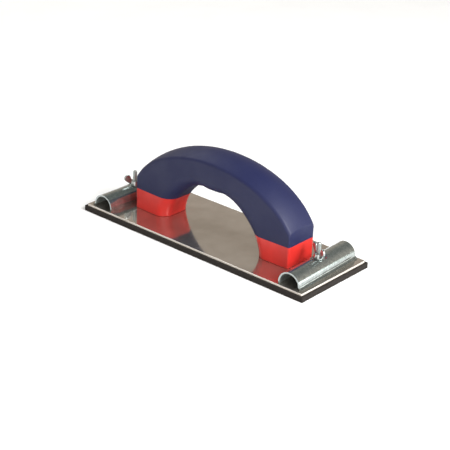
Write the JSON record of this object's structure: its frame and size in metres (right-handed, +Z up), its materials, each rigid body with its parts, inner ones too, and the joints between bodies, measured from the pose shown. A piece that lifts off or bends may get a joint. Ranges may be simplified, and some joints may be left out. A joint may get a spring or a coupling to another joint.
{
  "type": "sanding block",
  "caption": "Hand sanding block: a metal plate with a foam sole, an arched two-colour handle, and half-round end clamps held down by wing nuts.",
  "frame": {"origin": "centre of the underside of the foam sole, on the surface that the block stands on", "axes": "+X along the plate, towards the end called right; +Y across it, towards the side called back; +Z up, from the sole to the handle"},
  "size_m": [0.2344, 0.0834, 0.0745],
  "materials": {
    "plate": "bright rolled sheet, lightly smudged",
    "film": "thin double-sided film",
    "foam": "closed-cell foam, knife-cut edges",
    "red_plastic": "moulded, semi-gloss",
    "blue_rubber": "soft matt overmoulding",
    "screw_steel": "zinc plated",
    "zinc_stud": "zinc plated, threaded",
    "zinc_hardware": "zinc plated",
    "spring_wire": "bright drawn wire",
    "zinc_sheet": "zinc plated sheet, faint spangle",
    "zinc_wing": "zinc plated, pressed"
  },
  "bodies": {
    "block": {"base_plate": "plate", "adhesive_film": "film", "foam_pad": "foam", "handle_core": "red_plastic", "grip_sleeve": "blue_rubber", "left_front_screw": "screw_steel", "left_back_screw": "screw_steel", "right_front_screw": "screw_steel", "right_back_screw": "screw_steel", "left_stud": "zinc_stud", "left_lock_nut": "zinc_hardware", "left_spring": "spring_wire", "right_stud": "zinc_stud", "right_lock_nut": "zinc_hardware", "right_spring": "spring_wire"},
    "left_lift": {"left_washer": "zinc_hardware"},
    "left_nut": {"left_wing_nut": "zinc_wing"},
    "left_paper_clamp": {"left_clamp": "zinc_sheet"},
    "right_lift": {"right_washer": "zinc_hardware"},
    "right_nut": {"right_wing_nut": "zinc_wing"},
    "right_paper_clamp": {"right_clamp": "zinc_sheet"}
  },
  "joints": [
    {"name": "left_nut_travel", "type": "slide", "parent": "block", "child": "left_lift", "axis": [0, 0, 1], "range_m": [0, 0.0042]},
    {"name": "left_nut_turn", "type": "hinge", "parent": "left_lift", "child": "left_nut", "pos_m": [-0.0989, 0, 0.0163], "axis": [0, 0, 1], "range_deg": [0, 2160]},
    {"name": "left_clamp_swivel", "type": "hinge", "parent": "left_lift", "child": "left_paper_clamp", "pos_m": [-0.0989, 0, 0.0155], "axis": [0, 0, 1], "range_deg": [-20, 20]},
    {"name": "right_nut_travel", "type": "slide", "parent": "block", "child": "right_lift", "axis": [0, 0, 1], "range_m": [0, 0.0042]},
    {"name": "right_nut_turn", "type": "hinge", "parent": "right_lift", "child": "right_nut", "pos_m": [0.0989, 0, 0.0163], "axis": [0, 0, 1], "range_deg": [0, 2160]},
    {"name": "right_clamp_swivel", "type": "hinge", "parent": "right_lift", "child": "right_paper_clamp", "pos_m": [0.0989, 0, 0.0155], "axis": [0, 0, 1], "range_deg": [-20, 17]}
  ],
  "couplings": [
    {"joint": "left_nut_turn", "follows": "left_nut_travel", "rad_per_m": 8976},
    {"joint": "right_nut_turn", "follows": "right_nut_travel", "rad_per_m": 8976}
  ]
}
